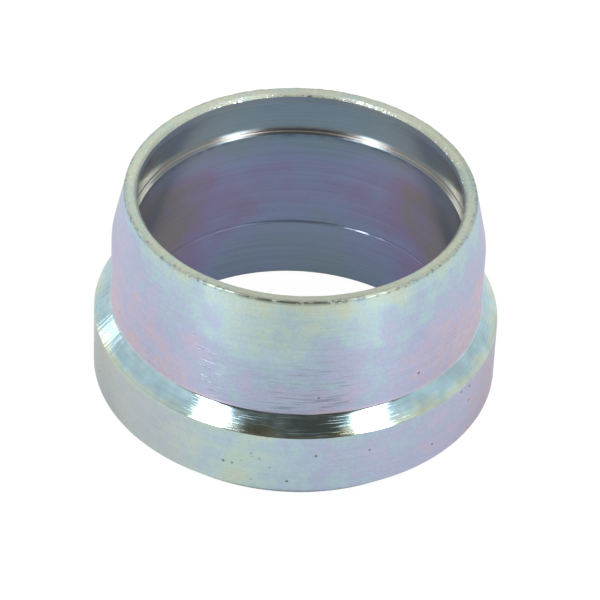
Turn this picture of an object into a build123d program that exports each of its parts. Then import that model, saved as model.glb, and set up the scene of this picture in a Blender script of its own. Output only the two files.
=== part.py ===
from build123d import *
from math import radians, tan
import os

os.makedirs("parts", exist_ok=True)

# A cutting ring for a 24 degree cone fitting, turned in one piece from steel bar.
# It stands on its rear face with the nose up. The Z axis is the axis of the tube,
# and the origin is the centre of the rear face. Lengths are in millimetres.

# The tube that the ring slides on, and the gaps round it, on the radius
tube_diameter = 16.0
first_edge_gap = 0.03
guide_gap = 0.08
bore_gap = 0.13

# Walls and steps, on the radius
rim_width = 0.62
body_wall = 1.12
shoulder_step = 0.85

# Heights along the axis
overall_length = 11.6
rear_cone_height = 1.0
collar_height = 3.3
guide_length = 3.4

# Angles between each cone and the axis, in degrees
nose_angle = 12.0
shoulder_angle = 45.0
rear_cone_angle = 45.0

# The recess behind the first cutting edge, and the ledge of the second one
recess_depth = 2.57
first_edge_land = 0.35
first_edge_relief = 0.28
ledge_width = 0.27

# Broken edges and the radii that the turning tool leaves
first_edge_break = 0.155
bore_mouth_chamfer = 0.2
collar_edge_radius = 0.08
rim_edge_radius = 0.12
shoulder_root_radius = 0.3
recess_root_radius = 0.06
nose_blend_radius = 3.0

# Radii worked out from the tube outwards
tube_radius = tube_diameter / 2
first_edge_radius = tube_radius + first_edge_gap
guide_radius = tube_radius + guide_gap
bore_radius = tube_radius + bore_gap
rim_radius = first_edge_radius + rim_width
body_radius = bore_radius + body_wall
collar_radius = body_radius + shoulder_step
rear_radius = collar_radius - rear_cone_height * tan(radians(rear_cone_angle))
recess_radius = bore_radius + ledge_width

# Heights worked out from the rear face upwards
collar_top = rear_cone_height + collar_height
shoulder_top = collar_top + shoulder_step / tan(radians(shoulder_angle))
nose_foot = overall_length - (body_radius - rim_radius) / tan(radians(nose_angle))
guide_top = guide_length + (bore_radius - guide_radius)
second_edge_height = overall_length - recess_depth
first_edge_height = overall_length - first_edge_break
land_foot = first_edge_height - first_edge_land

# Corners of the outside, each at a radius and a height
rear_corner = (rear_radius, 0)
collar_foot = (collar_radius, rear_cone_height)
collar_corner = (collar_radius, collar_top)
shoulder_root = (body_radius, shoulder_top)
nose_corner = (body_radius, nose_foot)
rim_corner = (rim_radius, overall_length)

# Corners of the inside, from the rim down to the mouth of the bore
rim_inner_corner = (first_edge_radius + first_edge_break, overall_length)
first_edge = (first_edge_radius, first_edge_height)
land_end = (first_edge_radius, land_foot)
relief_end = (first_edge_radius + first_edge_relief, land_foot - first_edge_relief)
recess_root = (recess_radius, second_edge_height)
second_edge = (bore_radius, second_edge_height)
bore_foot = (bore_radius, guide_top)
guide_corner = (guide_radius, guide_length)
mouth_corner = (guide_radius, bore_mouth_chamfer)
mouth_rim = (guide_radius + bore_mouth_chamfer, 0)


def corner(sketch, place):
    """Return the corner of the section that lies at a radius and a height."""
    return sketch.vertices().sort_by_distance(place)[0]


with BuildPart() as cutting_ring:
    # Half section of the ring, turned once round the axis of the tube
    with BuildSketch(Plane.XZ) as section:
        with BuildLine():
            Polyline(
                rear_corner,
                collar_foot,
                collar_corner,
                shoulder_root,
                nose_corner,
                rim_corner,
                rim_inner_corner,
                first_edge,
                land_end,
                relief_end,
                recess_root,
                second_edge,
                bore_foot,
                guide_corner,
                mouth_corner,
                mouth_rim,
                close=True,
            )
        make_face()
        # The two cutting edges, their ledge and the fine steps of the bore stay sharp
        fillet(corner(section, rear_corner), radius=collar_edge_radius)
        fillet(corner(section, collar_foot), radius=collar_edge_radius)
        fillet(corner(section, collar_corner), radius=collar_edge_radius)
        fillet(corner(section, shoulder_root), radius=shoulder_root_radius)
        fillet(corner(section, nose_corner), radius=nose_blend_radius)
        fillet(corner(section, rim_corner), radius=rim_edge_radius)
        fillet(corner(section, recess_root), radius=recess_root_radius)
    revolve(axis=Axis.Z)

cutting_ring.part.label = "cutting_ring"
export_step(cutting_ring.part, "parts/cutting_ring.step")
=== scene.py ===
from math import cos, pi, radians, sin, tan

import bpy
from bpy.props import FloatProperty, FloatVectorProperty, IntProperty, PointerProperty
from mathutils import Matrix, Vector, noise


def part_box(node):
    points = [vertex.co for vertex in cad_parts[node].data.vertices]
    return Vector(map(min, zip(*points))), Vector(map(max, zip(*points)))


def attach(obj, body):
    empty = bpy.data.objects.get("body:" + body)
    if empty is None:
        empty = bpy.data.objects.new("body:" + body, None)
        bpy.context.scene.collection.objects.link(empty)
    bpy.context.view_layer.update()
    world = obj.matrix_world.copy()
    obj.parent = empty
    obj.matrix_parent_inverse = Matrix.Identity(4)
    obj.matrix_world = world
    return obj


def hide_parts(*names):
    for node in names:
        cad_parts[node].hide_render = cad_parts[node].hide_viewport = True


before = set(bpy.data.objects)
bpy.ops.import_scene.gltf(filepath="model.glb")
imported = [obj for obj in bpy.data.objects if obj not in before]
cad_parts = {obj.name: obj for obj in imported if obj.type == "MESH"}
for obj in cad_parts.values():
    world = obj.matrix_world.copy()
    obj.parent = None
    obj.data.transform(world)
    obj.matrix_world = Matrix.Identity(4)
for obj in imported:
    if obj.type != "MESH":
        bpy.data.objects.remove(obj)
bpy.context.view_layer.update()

bl_info = {
    "name": "Cutting Ring",
    "version": (1, 0, 0),
    "blender": (4, 5, 0),
    "location": "3D View > Sidebar > Cutting Ring",
    "description": "A turned and plated cutting ring, and the studio that it is shown in",
    "category": "Object",
}

MM = 0.001
RING_NODE = "cutting_ring"
COLLAR_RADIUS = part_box(RING_NODE)[1].x
OUTSIDE, SHOULDER, RIM, INSIDE = range(4)

# Pieces of the arc that rounds a corner. The rim's has more, for the nicks in it
ARC_PIECES = 6
RIM_ARC_PIECES = 10
# Each straight run has a piece at both ends that is this many times shorter than the longest
END_SHORTER = 6
# Faces that meet at a wider angle than this are shaded sharp
SHARP_ANGLE = radians(20)
# Turn of the highlight that draws it out along the section, as a share of a full turn
ALONG_SECTION = 0.25
SENSOR_WIDTH = 36.0


def length(name, description, millimetres):
    """A length that a user can change, given in millimetres and kept in metres."""
    return FloatProperty(
        name=name, description=description, default=millimetres * MM, min=0.0,
        precision=5, unit="LENGTH", subtype="DISTANCE",
    )


def angle(name, description, degrees):
    """An angle that a user can change, given in degrees and kept in radians."""
    return FloatProperty(
        name=name, description=description, default=radians(degrees),
        unit="ROTATION", subtype="ANGLE",
    )


def share(name, description, value, highest=1.0):
    """A plain number from nothing up to a highest value."""
    return FloatProperty(
        name=name, description=description, default=value, min=0.0, max=highest,
    )


def tint(name, description, colour):
    """A colour that a user can change, in linear light."""
    return FloatVectorProperty(
        name=name, description=description, default=colour, size=3, min=0.0, max=1.0,
        subtype="COLOR",
    )


class RingSizes(bpy.types.PropertyGroup):
    """Sizes of the ring's section, the same as those of the solid."""

    collar_radius: FloatProperty(
        name="Collar radius", description="Radius of the widest cylinder",
        default=COLLAR_RADIUS, min=0.0, precision=5, unit="LENGTH", subtype="DISTANCE",
    )
    body_radius: length("Body radius", "Radius of the cylinder above the shoulder", 9.25)
    rim_radius: length("Rim radius", "Outer radius at the top of the nose", 8.65)
    rear_radius: length("Rear radius", "Radius of the small end of the rear cone", 9.1)
    first_edge_radius: length("First edge radius", "Radius of the first cutting edge", 8.03)
    bore_radius: length("Bore radius", "Radius of the bore below the second edge", 8.13)
    guide_radius: length("Guide radius", "Radius of the rear of the bore", 8.08)
    overall_length: length("Overall length", "Height of the ring on its rear face", 11.6)
    rear_cone_height: length("Rear cone height", "Height of the cone under the collar", 1.0)
    collar_height: length("Collar height", "Height of the widest cylinder", 3.3)
    guide_length: length("Guide length", "Height of the narrower rear of the bore", 3.4)
    recess_depth: length("Recess depth", "From the rim down to the second edge", 2.57)
    first_edge_land: length("First edge land", "Height of the first cutting edge", 0.35)
    first_edge_relief: length("First edge relief", "Bevel behind the first cutting edge", 0.28)
    ledge_width: length("Ledge width", "Width of the ledge behind the second edge", 0.27)
    first_edge_break: length("First edge break", "Bevel inside the rim", 0.155)
    mouth_chamfer: length("Mouth chamfer", "Bevel at the rear of the bore", 0.2)
    collar_edge: length("Collar edge", "Radius of the edges of the collar", 0.08)
    rim_edge: length("Rim edge", "Radius of the outer edge of the rim", 0.1)
    shoulder_root: length("Shoulder root", "Radius at the top of the shoulder", 0.3)
    recess_root: length("Recess root", "Radius at the bottom of the recess", 0.06)
    nose_blend: length("Nose blend", "Radius between the body and the nose", 3.0)
    nose_angle: angle("Nose angle", "Between the nose cone and the axis", 12.0)
    steps_round: IntProperty(
        name="Steps round", description="Number of steps that the section is turned in",
        default=600, min=24, max=720,
    )
    longest_run: length("Longest run", "Longest straight piece of the section", 0.28)
    edge_wear: length("Edge wear", "Depth of the small nicks along the edges", 0.035)


class PlatingFinish(bpy.types.PropertyGroup):
    """Colours and gloss of the zinc plating and its rainbow film."""

    straw: tint("Straw", "Thinnest film, a pale yellow green", (0.62, 0.70, 0.57))
    mint: tint("Mint", "A pale green", (0.57, 0.71, 0.66))
    sky: tint("Sky", "A pale blue", (0.50, 0.66, 0.72))
    iris: tint("Iris", "A blue that leans to violet", (0.50, 0.57, 0.73))
    teal: tint("Teal", "A pale blue green, on the shoulder", (0.44, 0.64, 0.72))
    lilac: tint("Lilac", "A pale violet", (0.57, 0.56, 0.73))
    rose: tint("Rose", "Thickest film, a pale pink", (0.65, 0.56, 0.64))
    faced: tint("Faced", "The matte rim, a pale yellow green", (0.69, 0.74, 0.61))
    slate: tint("Slate", "Film inside, a blue grey", (0.42, 0.56, 0.64))
    dusk: tint("Dusk", "Film inside, a violet blue", (0.45, 0.54, 0.80))
    plum: tint("Plum", "Film inside, a grey violet", (0.50, 0.43, 0.69))
    umber: tint("Umber", "Film inside, a warm grey", (0.48, 0.43, 0.44))
    flint: tint("Flint", "Film in the recess, a plain blue grey", (0.44, 0.61, 0.70))
    frost: tint("Frost", "The land of the first edge, a pale grey", (0.54, 0.66, 0.71))
    sand: tint("Sand", "Film at the root of the recess, a warm grey", (0.60, 0.55, 0.50))
    shore: tint("Shore", "Film on the ledge, a blue grey", (0.49, 0.56, 0.62))
    khaki: tint("Khaki", "Film at the sides of the recess, a warm grey", (0.74, 0.66, 0.44))
    ash: tint("Ash", "Film at the left of the collar, a plain grey", (0.57, 0.59, 0.61))
    bare: tint("Bare", "Steel where the film is rubbed off", (0.93, 0.94, 0.94))
    roughness: share("Roughness", "Roughness of the turned outside", 0.46)
    inside_roughness: share("Inside roughness", "Roughness of the bored inside", 0.24)
    shoulder_roughness: share("Shoulder roughness", "Roughness of the bright shoulder", 0.13)
    rim_roughness: share("Rim roughness", "Roughness of the faced rim", 0.5)
    stretch: share("Stretch", "How far the turning marks draw out a highlight outside", 0.75)
    shoulder_stretch: share("Shoulder stretch", "The same on the bright shoulder", 0.7)
    inside_stretch: share("Inside stretch", "The same on the bored inside", 0.5)
    mark_height: length("Mark height", "Height of the turning marks", 0.004)


class StudioSetup(bpy.types.PropertyGroup):
    """Floor, lights and camera."""

    floor_size: length("Floor size", "Side of the square floor", 3000.0)
    floor_tone: tint("Floor tone", "Pale floor", (0.86, 0.86, 0.86))
    floor_glow: share("Floor glow", "Brightness of the light under the floor", 1.04, 10.0)
    floor_lit: share("Floor lit", "How much of the floor's look is the light under it", 0.93)
    surround: share("Surround", "Brightness of the pale surround", 0.7, 10.0)
    gap: share("Gap", "Brightness of the dark gap that the camera stands in", 0.09, 10.0)
    gap_fade: angle("Gap fade", "Where the dark gap ends, from its middle", 71.34)
    gap_full: angle("Gap full", "Where the dark gap is darkest, from its middle", 53.13)
    gap_tone: tint("Gap tone", "Colour of the dark gap, slightly warm", (1.0, 0.88, 0.74))
    softbox_power: share("Softbox power", "Power of each softbox in watts", 0.66, 1000.0)
    softbox_distance: length("Softbox distance", "From the ring to each softbox", 450.0)
    softbox_width: length("Softbox width", "Width of each softbox", 100.0)
    softbox_height: length("Softbox height", "Height of each softbox", 340.0)
    softbox_turn: angle("Softbox turn", "Each softbox to the side of the camera", 48.5)
    softbox_lift: angle("Softbox lift", "Each softbox above the floor", 40.0)
    strip_power: share("Strip light power", "Power of the strip light in watts", 0.04, 1000.0)
    strip_width: length("Strip light width", "Width of the light behind on the left", 70.0)
    strip_height: length("Strip light height", "Height of the light behind on the left", 150.0)
    strip_turn: angle("Strip light turn", "Strip light to the side of the camera", -120.0)
    strip_lift: angle("Strip light lift", "Strip light above the floor", 16.0)
    back_power: share("Back light power", "Power of each light behind, in watts", 0.09, 1000.0)
    back_width: length("Back light width", "Width and height of each light behind", 100.0)
    back_turn: angle("Back light turn", "Each back light to the side of the camera", 133.0)
    camera_distance: length("Camera distance", "From the ring to the camera", 202.0)
    camera_pivot: length("Camera pivot", "Height on the axis that the distance is from", 0.9757)
    aim_right: length("Aim to the right", "From the axis to the point aimed at", 0.1889)
    aim_height: length("Aim height", "Height of the point that the camera aims at", 4.748)
    camera_lift: angle("Camera lift", "Camera above the floor", 39.771)
    camera_roll: angle("Camera roll", "Camera about its own line of sight", 2.606)
    camera_lens: FloatProperty(
        name="Camera lens", description="Focal length in millimetres on a 36 mm sensor",
        default=239.53, min=1.0, unit="CAMERA",
    )


# The section of the ring

def section_corners(sizes):
    """Corners of the section as (radius, height, corner radius), from the mouth outwards."""
    s = sizes
    collar_top = s.rear_cone_height + s.collar_height
    shoulder_top = collar_top + s.collar_radius - s.body_radius
    nose_foot = s.overall_length - (s.body_radius - s.rim_radius) / tan(s.nose_angle)
    second_edge = s.overall_length - s.recess_depth
    first_edge = s.overall_length - s.first_edge_break
    return {
        "mouth_rim": (s.guide_radius + s.mouth_chamfer, 0.0, 0.0),
        "rear_corner": (s.rear_radius, 0.0, s.collar_edge),
        "collar_foot": (s.collar_radius, s.rear_cone_height, s.collar_edge),
        "collar_corner": (s.collar_radius, collar_top, s.collar_edge),
        "shoulder_root": (s.body_radius, shoulder_top, s.shoulder_root),
        "nose_corner": (s.body_radius, nose_foot, s.nose_blend),
        "rim_corner": (s.rim_radius, s.overall_length, s.rim_edge),
        "rim_inner": (s.first_edge_radius + s.first_edge_break, s.overall_length, 0.0),
        "first_edge": (s.first_edge_radius, first_edge, 0.0),
        "land_end": (s.first_edge_radius, first_edge - s.first_edge_land, 0.0),
        "relief_end": (s.first_edge_radius + s.first_edge_relief,
                       first_edge - s.first_edge_land - s.first_edge_relief, 0.0),
        "recess_root": (s.bore_radius + s.ledge_width, second_edge, s.recess_root),
        "second_edge": (s.bore_radius, second_edge, 0.0),
        "bore_foot": (s.bore_radius, s.guide_length + s.bore_radius - s.guide_radius, 0.0),
        "guide_corner": (s.guide_radius, s.guide_length, 0.0),
        "mouth_corner": (s.guide_radius, s.mouth_chamfer, 0.0),
    }


def rounded_corner(before, at, after, radius, pieces):
    """Points of the arc that rounds one corner, or the corner itself."""
    if radius <= 0:
        return [at]
    to_before, to_after = (before - at).normalized(), (after - at).normalized()
    half = to_before.angle(to_after) / 2
    tangent = radius / tan(half)
    centre = at + (to_before + to_after).normalized() * radius / sin(half)
    start, end = at + to_before * tangent - centre, at + to_after * tangent - centre
    turn = start.angle_signed(end)
    points = []
    for i in range(pieces + 1):
        step = Matrix.Rotation(-turn * i / pieces, 2)
        points.append(centre + step @ start)
    return points


def section_points(sizes):
    """The section as a closed list of points, with where along it each corner lies."""
    corners = section_corners(sizes)
    names = list(corners)
    places = [Vector(corners[n][:2]) for n in names]
    points, marks = [], {}
    for i, name in enumerate(names):
        radius = corners[name][2]
        pieces = RIM_ARC_PIECES if name == "rim_corner" else ARC_PIECES
        arc = rounded_corner(places[i - 1], places[i], places[(i + 1) % len(names)], radius, pieces)
        marks[name] = len(points) + len(arc) // 2
        points += arc
    return points, marks


def with_short_runs(points, marks, longest):
    """Divide the long straight runs, and keep a short one at both ends of each."""
    out, moved = [], {}
    lookup = {index: name for name, index in marks.items()}
    guard = longest / END_SHORTER
    for i, point in enumerate(points):
        if i in lookup:
            moved[lookup[i]] = len(out)
        out.append(point)
        after = points[(i + 1) % len(points)]
        run = (after - point).length
        if run > 3 * guard:
            ends = [guard / run, 1 - guard / run]
            count = max(1, round((run - 2 * guard) / longest))
            shares = [ends[0] + (ends[1] - ends[0]) * k / count for k in range(count + 1)]
            out += [point.lerp(after, t) for t in shares]
    return out, moved


def wear(point, turn, depth):
    """How far an edge is worn back at a turn of the ring: small nicks with smooth runs between."""
    nicks_per_metre, runs_per_metre = 2300.0, 420.0
    # The height counts for little, so that a nick runs right across its edge
    height = point.y * 0.1
    place = Vector((point.x * cos(turn), point.x * sin(turn), height))
    fine = noise.noise(place * nicks_per_metre)
    coarse = noise.noise(place * runs_per_metre + Vector((7, 3, 5)))
    return depth * max(0.0, min(1.0, 0.35 + 1.3 * fine + 0.9 * coarse))


def zone_between(marks, start, end, index):
    """Whether a face of the section lies between two of its corners."""
    return marks[start] <= index < marks[end]


def build_ring(sizes):
    """Turn the section round the axis and mark how far along the section each corner is."""
    points, marks = section_points(sizes)
    points, marks = with_short_runs(points, marks, sizes.longest_run)
    count, steps = len(points), sizes.steps_round
    along = [0.0]
    for i, point in enumerate(points):
        along.append(along[-1] + (points[(i + 1) % count] - point).length)
    zones = []
    for i in range(count):
        if zone_between(marks, "collar_corner", "shoulder_root", i):
            zones.append(SHOULDER)
        elif zone_between(marks, "rim_corner", "first_edge", i):
            zones.append(RIM)
        elif zone_between(marks, "first_edge", "mouth_corner", i):
            zones.append(INSIDE)
        else:
            zones.append(OUTSIDE)
    # The points that wear, each with how much of the wear it takes and the way that it moves
    half_arc = RIM_ARC_PIECES // 2
    worn = {
        marks["rim_corner"] + k: (1 - abs(k) / (half_arc + 1), Vector((-1, -1)).normalized())
        for k in range(-half_arc, half_arc + 1)
    }
    worn[marks["rim_inner"]] = (0.5, Vector((0.7, -0.3)))
    worn[marks["first_edge"]] = (0.35, Vector((1, 0)))
    worn[marks["second_edge"]] = (0.35, Vector((0.5, -1)))
    worn[marks["bore_foot"]] = (0.5, Vector((0, -1)))
    places, faces, lengths, slots = [], [], [], []
    for step in range(steps):
        turn = 2 * pi * step / steps
        for i, p in enumerate(points):
            if i in worn:
                part, way = worn[i]
                p = p + way * part * wear(p, turn, sizes.edge_wear)
            places.append((p.x * cos(turn), p.x * sin(turn), min(p.y, sizes.overall_length)))
        here, there = step * count, (step + 1) % steps * count
        for i in range(count):
            j = (i + 1) % count
            faces.append((here + i, there + i, there + j, here + j))
            lengths += [along[i], along[i], along[i + 1], along[i + 1]]
            slots.append(zones[i])
    mesh = bpy.data.meshes.new("turned_ring")
    mesh.from_pydata(places, [], faces)
    mesh.attributes.new("along", "FLOAT", "CORNER").data.foreach_set("value", lengths)
    mesh.polygons.foreach_set("material_index", slots)
    mesh.shade_smooth()
    mesh.set_sharp_from_angle(angle=SHARP_ANGLE)
    return mesh, {name: along[index] for name, index in marks.items()}, along[-1]


# Materials

class Nodes:
    """A short way to write a material's nodes."""

    def __init__(self, tree):
        self.tree = tree
        tree.nodes.clear()

    def add(self, kind, inputs=None, **settings):
        node = self.tree.nodes.new(kind)
        for name, value in settings.items():
            setattr(node, name, value)
        for key, value in (inputs or {}).items():
            if hasattr(value, "is_output"):
                self.tree.links.new(value, node.inputs[key])
            else:
                node.inputs[key].default_value = value
        return node

    def maths(self, operation, a, b=0.0, c=0.0, clamp=False):
        node = self.add("ShaderNodeMath", {0: a, 1: b, 2: c}, operation=operation, use_clamp=clamp)
        return node.outputs[0]

    def noise(self, vector, scale, detail=2.0, roughness=0.5, distortion=0.0):
        node = self.add("ShaderNodeTexNoise", {
            "Vector": vector, "Scale": scale, "Detail": detail,
            "Roughness": roughness, "Distortion": distortion,
        })
        return node.outputs["Fac"]

    def spread(self, value, low, high, to_low=0.0, to_high=1.0, smooth=False):
        node = self.add("ShaderNodeMapRange", {
            "Value": value, "From Min": low, "From Max": high,
            "To Min": to_low, "To Max": to_high,
        }, interpolation_type="SMOOTHSTEP" if smooth else "LINEAR")
        return node.outputs["Result"]

    def ramp(self, value, stops):
        node = self.add("ShaderNodeValToRGB", {"Fac": value})
        band = node.color_ramp
        while len(band.elements) < len(stops):
            band.elements.new(0.5)
        for element, (place, colour) in zip(band.elements, stops):
            element.position = place
            if not hasattr(colour, "__len__"):
                colour = (colour, colour, colour)
            element.color = (*colour, 1.0)
        return node.outputs["Color"]


class Plating(Nodes):
    """Nodes of a zinc plated zone, with the places that its patterns are laid out by."""

    def __init__(self, name, marks, whole):
        self.material = bpy.data.materials.new(name)
        self.material.use_nodes = True
        super().__init__(self.material.node_tree)
        self.marks, self.whole = marks, whole
        self.place = self.add("ShaderNodeTexCoord").outputs["Object"]
        split = self.add("ShaderNodeSeparateXYZ", {0: self.place})
        self.x, self.y = split.outputs["X"], split.outputs["Y"]
        self.along = self.add("ShaderNodeAttribute", attribute_name="along").outputs["Fac"]
        square = self.maths("ADD", self.maths("MULTIPLY", self.x, self.x),
                            self.maths("MULTIPLY", self.y, self.y))
        radius = self.maths("SQRT", square)
        self.across = self.maths("DIVIDE", self.x, radius)
        self.back = self.maths("DIVIDE", self.y, radius)

    def by_section(self, stops):
        """A value that runs along the section, from stops of (corner, millimetres on, value)."""
        at = self.maths("DIVIDE", self.along, self.whole)
        return self.ramp(at, [((self.marks[c] + on * MM) / self.whole, v) for c, on, v in stops])

    def facing(self, turn, full, fade):
        """One where the ring faces a turn from the front, in degrees, fading out round it.

        It is one as far as full to both sides, and nothing from fade on.
        """
        way = self.maths("MULTIPLY_ADD", self.across, sin(radians(turn)),
                         self.maths("MULTIPLY", self.back, -cos(radians(turn))))
        return self.spread(way, cos(radians(fade)), cos(radians(full)), smooth=True)

    def lathe_noise(self, round_scale, along_scale, detail=2.0, roughness=0.5, shift=0.0):
        """Noise drawn out round the ring, as a turning tool leaves it."""
        place = self.add("ShaderNodeCombineXYZ", {
            "X": self.maths("MULTIPLY_ADD", self.x, round_scale, shift),
            "Y": self.maths("MULTIPLY", self.y, round_scale),
            "Z": self.maths("MULTIPLY", self.along, along_scale),
        }).outputs[0]
        return self.noise(place, 1.0, detail, roughness)

    def swing(self, value, noise_value, amount):
        """A value moved both ways by a noise."""
        return self.maths("MULTIPLY_ADD", self.maths("SUBTRACT", noise_value, 0.5), amount, value)

    def mottled(self, film, large, small, streaked):
        """Film thickness with soft patches of two sizes and faint streaks."""
        patches = self.noise(self.place, 240.0, detail=1.0, distortion=0.6)
        film = self.swing(film, patches, large)
        specks = self.noise(self.place, 780.0, roughness=0.6, distortion=0.3)
        film = self.swing(film, specks, small)
        streaks = self.lathe_noise(260.0, 1900.0, detail=3.0, roughness=0.6)
        return self.swing(film, streaks, streaked)

    def shaded(self, colour, shade):
        """A colour made darker or lighter by a grey."""
        grey = self.add("ShaderNodeCombineColor", {0: shade, 1: shade, 2: shade}).outputs[0]
        return self.add("ShaderNodeMix", {"Factor": 1.0, 6: colour, 7: grey},
                        data_type="RGBA", blend_type="MULTIPLY").outputs[2]

    def blend(self, share, first, second):
        """A colour part way between two."""
        return self.add("ShaderNodeMix", {"Factor": share, 6: first, 7: second},
                        data_type="RGBA").outputs[2]

    def near(self, spot, reach):
        """One near a spot of the ring, given in millimetres, fading out at its reach."""
        away = self.add("ShaderNodeVectorMath", {0: self.place, 1: Vector(spot) * MM},
                        operation="DISTANCE").outputs["Value"]
        return self.spread(away, reach * MM, reach * MM * 0.6, smooth=True)

    def pits(self, scale, share_of_cells, size, cluster=0.0):
        """Small dots where the plating has a pit, in loose groups and in one cluster."""
        cells = self.add("ShaderNodeTexVoronoi", {"Vector": self.place, "Scale": scale})
        dot = self.spread(cells.outputs["Distance"], size * 0.5, size, 1.0, 0.0, smooth=True)
        pick = self.add("ShaderNodeSeparateColor", {0: cells.outputs["Color"]}).outputs[0]
        more_in_cluster = 7.0 * share_of_cells
        least = self.maths("MULTIPLY_ADD", cluster, -more_in_cluster, 1.0 - share_of_cells)
        chosen = self.maths("GREATER_THAN", pick, least)
        group = self.maths("MAXIMUM", self.spread(self.noise(self.place, 190.0), 0.5, 0.56), cluster)
        return self.maths("MULTIPLY", self.maths("MULTIPLY", dot, chosen), group)

    def burr_and_painted_shade(self, stops):
        """A jagged dark line along the rim's outer edge, only where it faces the front: partly torn
        plating, partly painted shade.
        """
        torn = self.noise(self.place, 2100.0, detail=3.0, roughness=0.7)
        ragged = self.spread(torn, 0.38, 0.46, smooth=True)
        line = self.maths("MULTIPLY", self.by_section(stops), ragged)
        return self.maths("MULTIPLY", line, self.facing(turn=1.7, full=17.3, fade=22.4))

    def finish_steel(self, colour, roughness, height, mark_height, stretch):
        """The shader, with its highlights drawn out along the section where stretch asks."""
        bump = self.add("ShaderNodeBump", {
            "Strength": 1.0, "Distance": mark_height, "Height": height,
        })
        inputs = {
            "Base Color": colour, "Metallic": 1.0, "Roughness": roughness,
            "Normal": bump.outputs[0],
        }
        if stretch:
            tangent = self.add("ShaderNodeTangent", direction_type="RADIAL", axis="Z")
            inputs["Anisotropic"] = stretch
            inputs["Anisotropic Rotation"] = ALONG_SECTION
            inputs["Tangent"] = tangent.outputs[0]
        shader = self.add("ShaderNodeBsdfPrincipled", inputs)
        self.add("ShaderNodeOutputMaterial", {"Surface": shader.outputs[0]})
        return self.material


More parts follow.
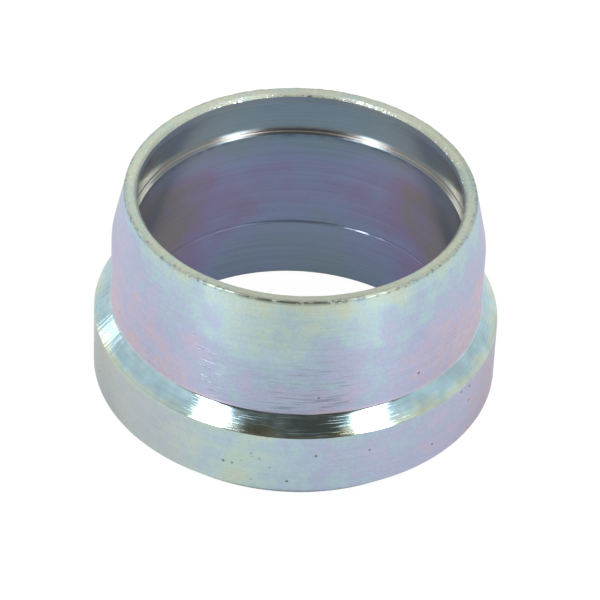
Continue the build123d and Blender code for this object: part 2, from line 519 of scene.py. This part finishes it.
def outside_plating(finish, marks, whole):
    """Turned outside: soft rainbow patches, turning marks, tears above the shoulder, pits."""
    n = Plating("plated_outside", marks, whole)
    film = n.by_section([
        ("mouth_rim", 0, 0.5), ("collar_foot", 0, 0.42), ("collar_corner", -0.4, 0.4),
        ("collar_corner", 0, 0.3), ("shoulder_root", -0.1, 1.0), ("shoulder_root", 0.25, 0.62),
        ("nose_corner", -0.8, 0.58), ("nose_corner", 0.5, 0.42), ("rim_corner", -1.0, 0.32),
        ("rim_corner", 0, 0.15),
    ])
    side = n.maths("POWER", n.maths("ABSOLUTE", n.across), 2.5)
    film = n.maths("MULTIPLY_ADD", side, n.by_section([
        ("mouth_rim", 0, 0.0), ("collar_corner", 0, 0.0), ("shoulder_root", 0, 0.4),
        ("nose_corner", 0, 0.36), ("rim_corner", 0, 0.2),
    ]), film)
    # The collar's film is thicker on the right than on the left
    lean = n.maths("MULTIPLY", n.across, n.maths("MULTIPLY_ADD", n.across, 0.11, 0.37))
    film = n.maths("MULTIPLY_ADD", lean, n.by_section([
        ("mouth_rim", 0, 1.0), ("collar_corner", 0, 1.0), ("shoulder_root", 0, 0.0),
        ("rim_corner", 0, 0.0),
    ]), film)
    film = n.mottled(film, large=0.6, small=0.9, streaked=0.25)
    colour = n.ramp(film, [
        (0.0, finish.straw), (0.2, finish.mint), (0.4, finish.sky), (0.6, finish.iris),
        (0.8, finish.lilac), (1.0, finish.rose),
    ])
    # The straight body above the shoulder, where the turning marks are deepest
    body = n.by_section([
        ("collar_corner", 0, 0.0), ("shoulder_root", 0.0, 0.2), ("shoulder_root", 0.4, 1.0),
        ("nose_corner", -1.0, 0.7), ("nose_corner", 0.0, 0.1), ("rim_corner", 0, 0.0),
    ])
    lay = n.lathe_noise(260.0, 14000.0, detail=3.0, roughness=0.65)
    bands = n.lathe_noise(130.0, 2600.0)
    tears = n.spread(n.lathe_noise(520.0, 11000.0, detail=1.0), 0.56, 0.66, smooth=True)
    tears = n.maths("MULTIPLY", tears, n.spread(n.noise(n.place, 330.0), 0.42, 0.56, smooth=True))
    tears = n.maths("MULTIPLY", tears, body)
    cluster = n.near(spot=(-1.6, -10.0, 2.0), reach=2.6)
    pits = n.pits(2300.0, share_of_cells=0.05, size=0.22, cluster=cluster)
    edge = n.by_section([
        ("rim_corner", -0.22, 0.0), ("rim_corner", -0.06, 0.8), ("rim_corner", 0, 0.8),
    ])
    nicks = n.spread(n.noise(n.place, 5200.0, roughness=0.6), 0.55, 0.62, smooth=True)
    pits = n.maths("MAXIMUM", pits, n.maths("MULTIPLY", edge, nicks))
    # The burr adds a dark line on the edge where it faces the front: torn plating with painted shade
    pits = n.maths("MAXIMUM", pits, n.burr_and_painted_shade([
        ("rim_corner", -0.13, 0.0), ("rim_corner", -0.091, 1.0), ("rim_corner", 0, 1.0),
    ]))
    # A thin rub mark up the left of the collar
    rubbed = n.maths("MULTIPLY", n.facing(turn=-82.2, full=1.9, fade=3.3), n.by_section([
        ("collar_foot", 1.2, 0.0), ("collar_foot", 1.5, 0.55), ("collar_corner", -0.1, 0.55),
        ("collar_corner", 0, 0.0),
    ]))
    rubbed = n.maths("MULTIPLY", rubbed, n.spread(n.noise(n.place, 1500.0), 0.4, 0.5))
    grey = n.maths("MULTIPLY", n.facing(turn=-60.1, full=4.8, fade=41.6), n.by_section([
        ("collar_corner", -0.3, 0.7), ("collar_corner", 0, 0.0),
    ]))
    colour = n.blend(grey, colour, (*finish.ash, 1.0))
    colour = n.blend(rubbed, colour, (*finish.bare, 1.0))
    grain = n.noise(n.place, 7000.0, roughness=0.6)
    shade = n.spread(lay, 0.3, 0.7, 0.95, 1.04)
    shade = n.maths("MULTIPLY", shade, n.spread(grain, 0.3, 0.7, 0.95, 1.04))
    shade = n.maths("MULTIPLY", shade, n.spread(pits, 0.0, 1.0, 1.0, 0.35))
    # Painted light: the body and the nose are painted lighter than the collar, most near the rim; the
    # rounded edge of the rim is darker
    shade = n.maths("MULTIPLY", shade, n.by_section([
        ("mouth_rim", 0, 1.0), ("collar_corner", 0, 1.0), ("shoulder_root", 0, 1.07),
        ("nose_corner", 0, 1.07), ("nose_corner", 0.8, 1.08), ("rim_corner", -0.13, 1.11),
        ("rim_corner", -0.07, 0.82), ("rim_corner", 0, 0.78),
    ]))
    # Painted light: the middle of the nose, where it faces the front, is painted slightly paler
    front = n.facing(turn=0.0, full=8.1, fade=25.8)
    pale = n.maths("MULTIPLY", front, n.by_section([
        ("shoulder_root", 0.4, 0.0), ("nose_corner", 0.8, 0.06), ("rim_corner", 0, 0.07),
    ]))
    shade = n.maths("MULTIPLY", shade, n.maths("ADD", pale, 1.0))
    # Painted shade: tears in the middle, where they face the front, are painted darker and keep little
    # of their relief; the others stay bright
    painted_dark_tears = n.maths("MULTIPLY", tears, front)
    shade = n.maths("MULTIPLY", shade, n.spread(painted_dark_tears, 0.0, 1.0, 1.0, 0.6))
    tears = n.maths("SUBTRACT", tears, n.maths("MULTIPLY", painted_dark_tears, 0.85))
    roughness = n.spread(n.noise(n.place, 500.0), 0.3, 0.7,
                         finish.roughness * 0.9, finish.roughness * 1.1)
    roughness = n.maths("MULTIPLY", roughness, n.by_section([
        ("mouth_rim", 0, 0.65), ("collar_corner", 0, 0.65), ("shoulder_root", 0, 1.09),
        ("nose_corner", -0.8, 1.09), ("nose_corner", 0.4, 0.87), ("rim_corner", -0.14, 0.87),
        ("rim_corner", -0.08, 0.82), ("rim_corner", 0, 0.82),
    ]))
    smooth = n.maths("MAXIMUM", tears, rubbed)
    roughness = n.maths("MULTIPLY", roughness, n.spread(smooth, 0.0, 1.0, 1.0, 0.3))
    lay_height = n.maths("MULTIPLY_ADD", body, 2.4, 0.4)
    height = n.maths("MULTIPLY_ADD", lay, lay_height, n.maths("MULTIPLY", bands, 0.8))
    height = n.maths("MULTIPLY_ADD", tears, 6.0, height)
    height = n.maths("MULTIPLY_ADD", pits, -2.5, height)
    height = n.maths("MULTIPLY_ADD", grain, 0.5, height)
    colour = n.shaded(colour, shade)
    return n.finish_steel(colour, roughness, height, finish.mark_height, finish.stretch)


def shoulder_plating(finish, marks, whole):
    """Bright 45 degree shoulder, blue at its top and olive at its foot, with fine scratches."""
    n = Plating("plated_shoulder", marks, whole)
    film = n.by_section([
        ("collar_corner", 0, 0.06), ("collar_corner", 0.35, 0.3),
        ("shoulder_root", -0.5, 0.5), ("shoulder_root", 0, 0.62),
    ])
    film = n.mottled(film, large=0.7, small=1.0, streaked=0.3)
    colour = n.ramp(film, [
        (0.0, finish.straw), (0.22, finish.mint), (0.45, finish.teal), (0.75, finish.sky),
        (1.0, finish.iris),
    ])
    lay = n.lathe_noise(300.0, 12000.0, detail=3.0, roughness=0.65)
    scratches = n.spread(n.lathe_noise(500.0, 15000.0, detail=1.0, shift=4.0), 0.56, 0.66, smooth=True)
    # Scores across the left of the shoulder
    scores = n.noise(n.add("ShaderNodeCombineXYZ", {
        "X": n.maths("MULTIPLY", n.across, 45.0), "Y": n.maths("MULTIPLY", n.back, 45.0),
        "Z": n.maths("MULTIPLY", n.along, 500.0),
    }).outputs[0], 1.0)
    scores = n.maths("MULTIPLY", scores, n.facing(turn=-67.0, full=18.1, fade=36.8))
    shade = n.spread(lay, 0.3, 0.7, 1.0, 1.16)
    patch = n.noise(n.place, 900.0)
    shade = n.maths("MULTIPLY", shade, n.spread(patch, 0.35, 0.65, 0.9, 1.1))
    roughness = n.spread(patch, 0.35, 0.65,
                         finish.shoulder_roughness * 0.8, finish.shoulder_roughness * 1.5)
    height = n.maths("MULTIPLY_ADD", scratches, 0.4, n.maths("MULTIPLY", lay, 0.2))
    height = n.maths("MULTIPLY_ADD", patch, 1.2, height)
    height = n.maths("MULTIPLY_ADD", scores, 4.0, height)
    colour = n.shaded(colour, shade)
    return n.finish_steel(colour, roughness, height, finish.mark_height, finish.shoulder_stretch)


def rim_plating(finish, marks, whole):
    """Faced rim, matte and yellow green, with a glossier outer edge and bright specks inside."""
    n = Plating("plated_rim", marks, whole)
    film = n.mottled(0.04, large=0.6, small=0.8, streaked=0.1)
    colour = n.ramp(film, [(0.0, finish.faced), (0.25, finish.mint), (0.5, finish.lilac)])
    face = n.by_section([
        ("rim_corner", 0.0, 0.0), ("rim_corner", 0.05, 0.0), ("rim_corner", 0.09, 1.0),
        ("first_edge", 0.0, 1.0),
    ])
    broken = n.spread(n.noise(n.place, 3000.0, roughness=0.6), 0.53, 0.6, smooth=True)
    matte = n.maths("MAXIMUM", face, broken)
    nicks = n.spread(n.noise(n.place, 5200.0, roughness=0.6), 0.54, 0.61, smooth=True)
    nicks = n.maths("MULTIPLY", nicks, n.by_section([
        ("rim_corner", 0.0, 0.8), ("rim_corner", 0.07, 0.6), ("rim_corner", 0.12, 0.0),
    ]))
    # The burr adds a dark line on the edge where it faces the front: torn plating with painted shade
    nicks = n.maths("MAXIMUM", nicks, n.burr_and_painted_shade([
        ("rim_corner", 0.0, 1.0), ("rim_corner", 0.063, 1.0), ("rim_corner", 0.09, 0.0),
    ]))
    # Bright specks on the inner bevel, with two rows of them at the back
    specks = n.noise(n.place, 6500.0, detail=1.0)
    specks = n.maths("MULTIPLY_ADD", n.facing(turn=154.0, full=10.5, fade=15.6), 0.09, specks)
    specks = n.maths("MULTIPLY_ADD", n.facing(turn=-150.0, full=6.3, fade=9.9), 0.08, specks)
    specks = n.spread(specks, 0.61, 0.66, smooth=True)
    specks = n.maths("MULTIPLY", specks, n.by_section([
        ("rim_inner", -0.03, 0.0), ("rim_inner", 0.05, 0.9), ("first_edge", 0.0, 0.9),
    ]))
    # A double tool line at the right of the face
    line = n.by_section([
        ("rim_corner", 0.09, 0.0), ("rim_corner", 0.12, 1.0), ("rim_corner", 0.15, 0.0),
        ("rim_corner", 0.17, 0.0), ("rim_corner", 0.20, 1.0), ("rim_corner", 0.23, 0.0),
    ])
    line = n.maths("MULTIPLY", line, n.facing(turn=111.2, full=13.4, fade=21.2))
    grain = n.noise(n.place, 5000.0, detail=3.0, roughness=0.6)
    roughness = n.spread(matte, 0.0, 1.0, 0.4, finish.rim_roughness)
    shade = n.spread(grain, 0.3, 0.7, 0.93, 1.06)
    shade = n.maths("MULTIPLY", shade, n.spread(n.noise(n.place, 160.0), 0.3, 0.7, 0.95, 1.05))
    # Painted shade and light: the face is painted darker at the front and lighter at the left back
    front = n.facing(turn=0.0, full=0.0, fade=45.6)
    painted_left_back_light = n.facing(turn=-110.4, full=4.5, fade=60.1)
    shade = n.maths("MULTIPLY", shade, n.spread(front, 0.0, 1.0, 1.0, 0.84))
    shade = n.maths("MULTIPLY", shade, n.spread(painted_left_back_light, 0.0, 1.0, 1.0, 1.12))
    # Darker at the outer edge; painted shade over the inner border of the face and its bevel
    shade = n.maths("MULTIPLY", shade, n.by_section([
        ("rim_corner", 0, 0.72), ("rim_corner", 0.07, 0.82), ("rim_corner", 0.12, 0.97),
        ("rim_inner", -0.03, 0.97), ("rim_inner", 0.03, 0.78), ("first_edge", 0, 0.7),
    ]))
    shade = n.maths("MULTIPLY", shade, n.spread(nicks, 0.0, 1.0, 1.0, 0.38))
    shade = n.maths("MULTIPLY", shade, n.spread(line, 0.0, 1.0, 1.0, 0.75))
    colour = n.blend(specks, n.shaded(colour, shade), (*finish.bare, 1.0))
    height = n.maths("MULTIPLY_ADD", nicks, -3.0, n.maths("MULTIPLY", grain, 1.5))
    height = n.maths("MULTIPLY_ADD", line, -2.0, height)
    height = n.maths("MULTIPLY_ADD", specks, 5.0, height)
    roughness = n.maths("MULTIPLY_ADD", specks, -0.3, roughness)
    return n.finish_steel(colour, roughness, height, finish.mark_height, stretch=0.0)


def inside_plating(finish, marks, whole):
    """Bored inside: darker colours, violet towards the sides, the recess, fine turning marks, and
    painted shade.
    """
    n = Plating("plated_inside", marks, whole)
    film = n.by_section([
        ("second_edge", 0, 0.0), ("second_edge", 0.5, 0.02), ("second_edge", 1.8, 0.32),
        ("bore_foot", -1.2, 0.35), ("bore_foot", -0.2, 0.18), ("mouth_corner", 0, 0.05),
    ])
    side = n.maths("POWER", n.maths("ABSOLUTE", n.across), 2.0)
    film = n.maths("MULTIPLY_ADD", side, n.by_section([
        ("second_edge", 0, 0.3), ("second_edge", 0.5, 0.4), ("second_edge", 1.6, 0.95),
        ("mouth_corner", 0, 0.95),
    ]), film)
    film = n.mottled(film, large=0.55, small=0.5, streaked=0.2)
    colour = n.ramp(film, [
        (0.0, finish.slate), (0.35, finish.dusk), (0.62, finish.plum), (0.9, finish.umber),
    ])
    # The recess and the top of the bore turn to a warm grey at the sides
    far = n.maths("MULTIPLY", n.maths("MULTIPLY", side, side), 1.4)
    colour = n.blend(n.maths("MULTIPLY", far, n.by_section([
        ("second_edge", 0, 0.7), ("second_edge", 1.0, 0.7), ("second_edge", 2.2, 0.0),
    ])), colour, (*finish.khaki, 1.0))
    recess = n.blend(far, (*finish.flint, 1.0), (*finish.khaki, 1.0))
    land = [("first_edge", 0, 1.0), ("land_end", 0, 0.8), ("relief_end", 0.3, 0.0)]
    root = [("recess_root", -0.4, 0.0), ("recess_root", -0.1, 1.0), ("recess_root", 0.1, 1.0)]
    ledge = [("recess_root", 0.0, 0.0), ("recess_root", 0.08, 1.0), ("second_edge", 0.0, 1.0)]
    for tone, stops in ((finish.frost, land), (finish.sand, root), (finish.shore, ledge)):
        recess = n.blend(n.by_section(stops), recess, (*tone, 1.0))
    undercut = n.by_section([
        ("first_edge", 0, 1.0), ("second_edge", -0.03, 1.0), ("second_edge", 0, 0.0),
    ])
    colour = n.blend(undercut, colour, recess)
    lay = n.lathe_noise(170.0, 9000.0, detail=3.0, roughness=0.6)
    bands = n.lathe_noise(110.0, 1700.0)
    pits = n.pits(1500.0, share_of_cells=0.03, size=0.1)
    gloss = n.by_section([
        ("first_edge", 0, 1.8), ("land_end", 0, 1.6), ("relief_end", 0.3, 1.0),
        ("recess_root", -0.6, 0.9), ("recess_root", -0.25, 1.0), ("second_edge", 0, 1.0),
        ("second_edge", 0.2, 1.1), ("mouth_corner", 0, 1.1),
    ])
    # The fine step of the bore is dull, with a bright run on the right and a faint one on the left
    step = n.by_section([
        ("bore_foot", -0.03, 0.0), ("bore_foot", 0.0, 1.0), ("guide_corner", 0.0, 1.0),
        ("guide_corner", 0.03, 0.0),
    ])
    left_to_right = n.maths("MULTIPLY_ADD", n.across, 0.5, 0.5)
    runs = n.ramp(left_to_right, [
        (0.16, 0.0), (0.17, 0.5), (0.195, 0.5), (0.205, 0.0),
        (0.64, 0.0), (0.655, 0.8), (0.73, 0.7), (0.745, 0.3), (0.79, 0.0),
    ])
    runs = n.maths("MULTIPLY", runs, n.spread(n.noise(n.place, 1900.0, roughness=0.6), 0.35, 0.55))
    dull = n.maths("MULTIPLY", step, n.maths("SUBTRACT", 1.0, runs))
    shade = n.spread(lay, 0.3, 0.7, 0.93, 1.07)
    shade = n.maths("MULTIPLY", shade, n.spread(bands, 0.3, 0.7, 0.975, 1.025))
    # Painted shade: the inside is painted lighter near the rim and darker down the bore towards the
    # rear mouth
    shade = n.maths("MULTIPLY", shade, n.by_section([
        ("first_edge", 0, 1.15), ("land_end", 0, 1.15), ("relief_end", 0.4, 1.05),
        ("recess_root", 0, 0.95), ("second_edge", 0, 1.05), ("second_edge", 0.4, 1.12),
        ("second_edge", 2.2, 1.0), ("bore_foot", -0.8, 0.86), ("mouth_corner", 0, 0.8),
    ]))
    # Painted shade: the ledge is painted darker at the sides
    painted_ledge_shade = n.maths("MULTIPLY", far, n.by_section([
        ("recess_root", -0.15, 0.0), ("recess_root", 0, 0.22), ("second_edge", -0.02, 0.22),
        ("second_edge", 0, 0.0),
    ]))
    shade = n.maths("MULTIPLY", shade, n.maths("SUBTRACT", 1.0, painted_ledge_shade))
    # Painted shade: the fine step is painted darkest at the back of the ring
    dark = n.maths("MULTIPLY", dull, n.maths("SUBTRACT", 0.7, side))
    shade = n.maths("MULTIPLY", shade, n.maths("SUBTRACT", 1.0, dark))
    roughness = n.maths("MULTIPLY_ADD", dull, 0.3, n.maths("MULTIPLY", gloss, finish.inside_roughness))
    height = n.maths("MULTIPLY_ADD", lay, 0.4, n.maths("MULTIPLY", bands, 0.35))
    height = n.maths("MULTIPLY_ADD", pits, 2.5, height)
    colour = n.shaded(colour, shade)
    return n.finish_steel(colour, roughness, height, finish.mark_height, finish.inside_stretch)


def floor_material(studio):
    """Plain pale floor. Its shadow shows only faintly, as on a sheet lit from below."""
    material = bpy.data.materials.new("pale_floor")
    material.use_nodes = True
    n = Nodes(material.node_tree)
    sheet = n.add("ShaderNodeBsdfDiffuse", {"Color": (*studio.floor_tone, 1.0)})
    glow = n.add("ShaderNodeEmission", {
        "Color": (1.0, 1.0, 1.0, 1.0), "Strength": studio.floor_glow,
    })
    seen = n.add("ShaderNodeLightPath").outputs["Is Camera Ray"]
    mix = n.add("ShaderNodeMixShader", {
        0: n.maths("MULTIPLY", seen, studio.floor_lit), 1: sheet.outputs[0], 2: glow.outputs[0],
    })
    n.add("ShaderNodeOutputMaterial", {"Surface": mix.outputs[0]})
    return material


def surround_world(studio):
    """A pale surround, dark where the camera stands."""
    world = bpy.data.worlds.new("studio")
    world.use_nodes = True
    n = Nodes(world.node_tree)
    way = n.add("ShaderNodeTexCoord").outputs["Generated"]
    towards = n.maths("MULTIPLY", n.add("ShaderNodeSeparateXYZ", {0: way}).outputs["Y"], -1.0)
    dark = n.spread(towards, cos(studio.gap_fade), cos(studio.gap_full), smooth=True)
    strength = n.spread(dark, 0.0, 1.0, studio.surround, studio.gap)
    tone = n.add("ShaderNodeMix", {
        "Factor": dark, 6: (1.0, 1.0, 1.0, 1.0), 7: (*studio.gap_tone, 1.0),
    }, data_type="RGBA").outputs[2]
    back = n.add("ShaderNodeBackground", {"Color": tone, "Strength": strength})
    n.add("ShaderNodeOutputWorld", {"Surface": back.outputs[0]})
    return world


# Operators

def place_object(name, data):
    """Add an object to the scene."""
    made = bpy.data.objects.new(name, data)
    bpy.context.scene.collection.objects.link(made)
    return made


class CUTTINGRING_OT_turn_ring(bpy.types.Operator):
    """Turn the ring from its section and plate it"""

    bl_idname = "cuttingring.turn_ring"
    bl_label = "Turn the Ring"

    def execute(self, context):
        sizes, finish = context.scene.ring_sizes, context.scene.plating_finish
        mesh, marks, whole = build_ring(sizes)
        for plating in (outside_plating, shoulder_plating, rim_plating, inside_plating):
            mesh.materials.append(plating(finish, marks, whole))
        ring = place_object("turned_cutting_ring", mesh)
        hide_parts(RING_NODE)
        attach(ring, "root")
        return {"FINISHED"}


class CUTTINGRING_OT_set_studio(bpy.types.Operator):
    """Lay the floor, hang the softboxes and place the camera"""

    bl_idname = "cuttingring.set_studio"
    bl_label = "Set the Studio"

    def execute(self, context):
        studio = context.scene.studio_setup
        context.scene.world = surround_world(studio)
        context.scene.view_settings.view_transform = "Standard"
        self.lay_floor(studio)
        for side in (-1, 1):
            self.hang_softbox(studio, side)
            self.hang_back_light(studio, side)
        self.hang_strip_light(studio)
        self.place_camera(context, studio)
        return {"FINISHED"}

    def lay_floor(self, studio):
        half = studio.floor_size / 2
        mesh = bpy.data.meshes.new("floor")
        corners = [(-half, -half, 0), (half, -half, 0), (half, half, 0), (-half, half, 0)]
        mesh.from_pydata(corners, [], [(0, 1, 2, 3)])
        mesh.materials.append(floor_material(studio))
        place_object("floor", mesh)

    def hang_softbox(self, studio, side):
        self.hang_light("softbox", studio.softbox_width, studio.softbox_height,
                        studio.softbox_power, side * studio.softbox_turn, studio.softbox_lift, studio)

    def hang_back_light(self, studio, side):
        self.hang_light("back_light", studio.back_width, studio.back_width, studio.back_power,
                        side * studio.back_turn, studio.softbox_lift, studio)

    def hang_strip_light(self, studio):
        self.hang_light("strip_light", studio.strip_width, studio.strip_height,
                        studio.strip_power, studio.strip_turn, studio.strip_lift, studio)

    def hang_light(self, name, width, height, power, turn, lift, studio):
        light = bpy.data.lights.new(name, "AREA")
        light.shape = "RECTANGLE"
        light.size, light.size_y = width, height
        light.energy = power
        box = place_object(name, light)
        way = Vector((sin(turn) * cos(lift), -cos(turn) * cos(lift), sin(lift)))
        box.location = way * studio.softbox_distance
        box.rotation_euler = way.to_track_quat("Z", "Y").to_euler()

    def place_camera(self, context, studio):
        lift, roll = studio.camera_lift, studio.camera_roll
        pivot = Vector((0, 0, studio.camera_pivot))
        stand = pivot + Vector((0, -cos(lift), sin(lift))) * studio.camera_distance
        aim = Vector((studio.aim_right, 0, studio.aim_height))
        forward = (aim - stand).normalized()
        right = forward.cross(Vector((0, 0, 1))).normalized()
        up = right.cross(forward)
        rolled_right = right * cos(roll) + up * sin(roll)
        rolled_up = up * cos(roll) - right * sin(roll)
        camera = bpy.data.cameras.new("camera")
        camera.lens, camera.sensor_width = studio.camera_lens, SENSOR_WIDTH
        camera.clip_start, camera.clip_end = 0.005, 20.0
        stand_in = place_object("camera", camera)
        turned = Matrix((rolled_right, rolled_up, -forward)).transposed()
        stand_in.matrix_world = Matrix.Translation(stand) @ turned.to_4x4()
        context.scene.camera = stand_in


class CUTTINGRING_PT_workshop(bpy.types.Panel):
    """Lists the steps that make the ring and its studio"""

    bl_idname = "CUTTINGRING_PT_workshop"
    bl_label = "Cutting Ring"
    bl_space_type = "VIEW_3D"
    bl_region_type = "UI"
    bl_category = "Cutting Ring"

    def draw(self, context):
        for group, operator in (
            ("ring_sizes", CUTTINGRING_OT_turn_ring),
            ("plating_finish", None),
            ("studio_setup", CUTTINGRING_OT_set_studio),
        ):
            box = self.layout.box()
            settings = getattr(context.scene, group)
            for name in settings.__annotations__:
                box.prop(settings, name)
            if operator:
                box.operator(operator.bl_idname)


CLASSES = (
    RingSizes, PlatingFinish, StudioSetup,
    CUTTINGRING_OT_turn_ring, CUTTINGRING_OT_set_studio, CUTTINGRING_PT_workshop,
)
SETTINGS = {
    "ring_sizes": RingSizes,
    "plating_finish": PlatingFinish,
    "studio_setup": StudioSetup,
}


def register():
    for one in CLASSES:
        bpy.utils.register_class(one)
    for name, group in SETTINGS.items():
        setattr(bpy.types.Scene, name, PointerProperty(type=group))


def unregister():
    for name in SETTINGS:
        delattr(bpy.types.Scene, name)
    for one in reversed(CLASSES):
        bpy.utils.unregister_class(one)


def main():
    register()
    bpy.ops.cuttingring.turn_ring()
    bpy.ops.cuttingring.set_studio()


if __name__ == "__main__":
    main()
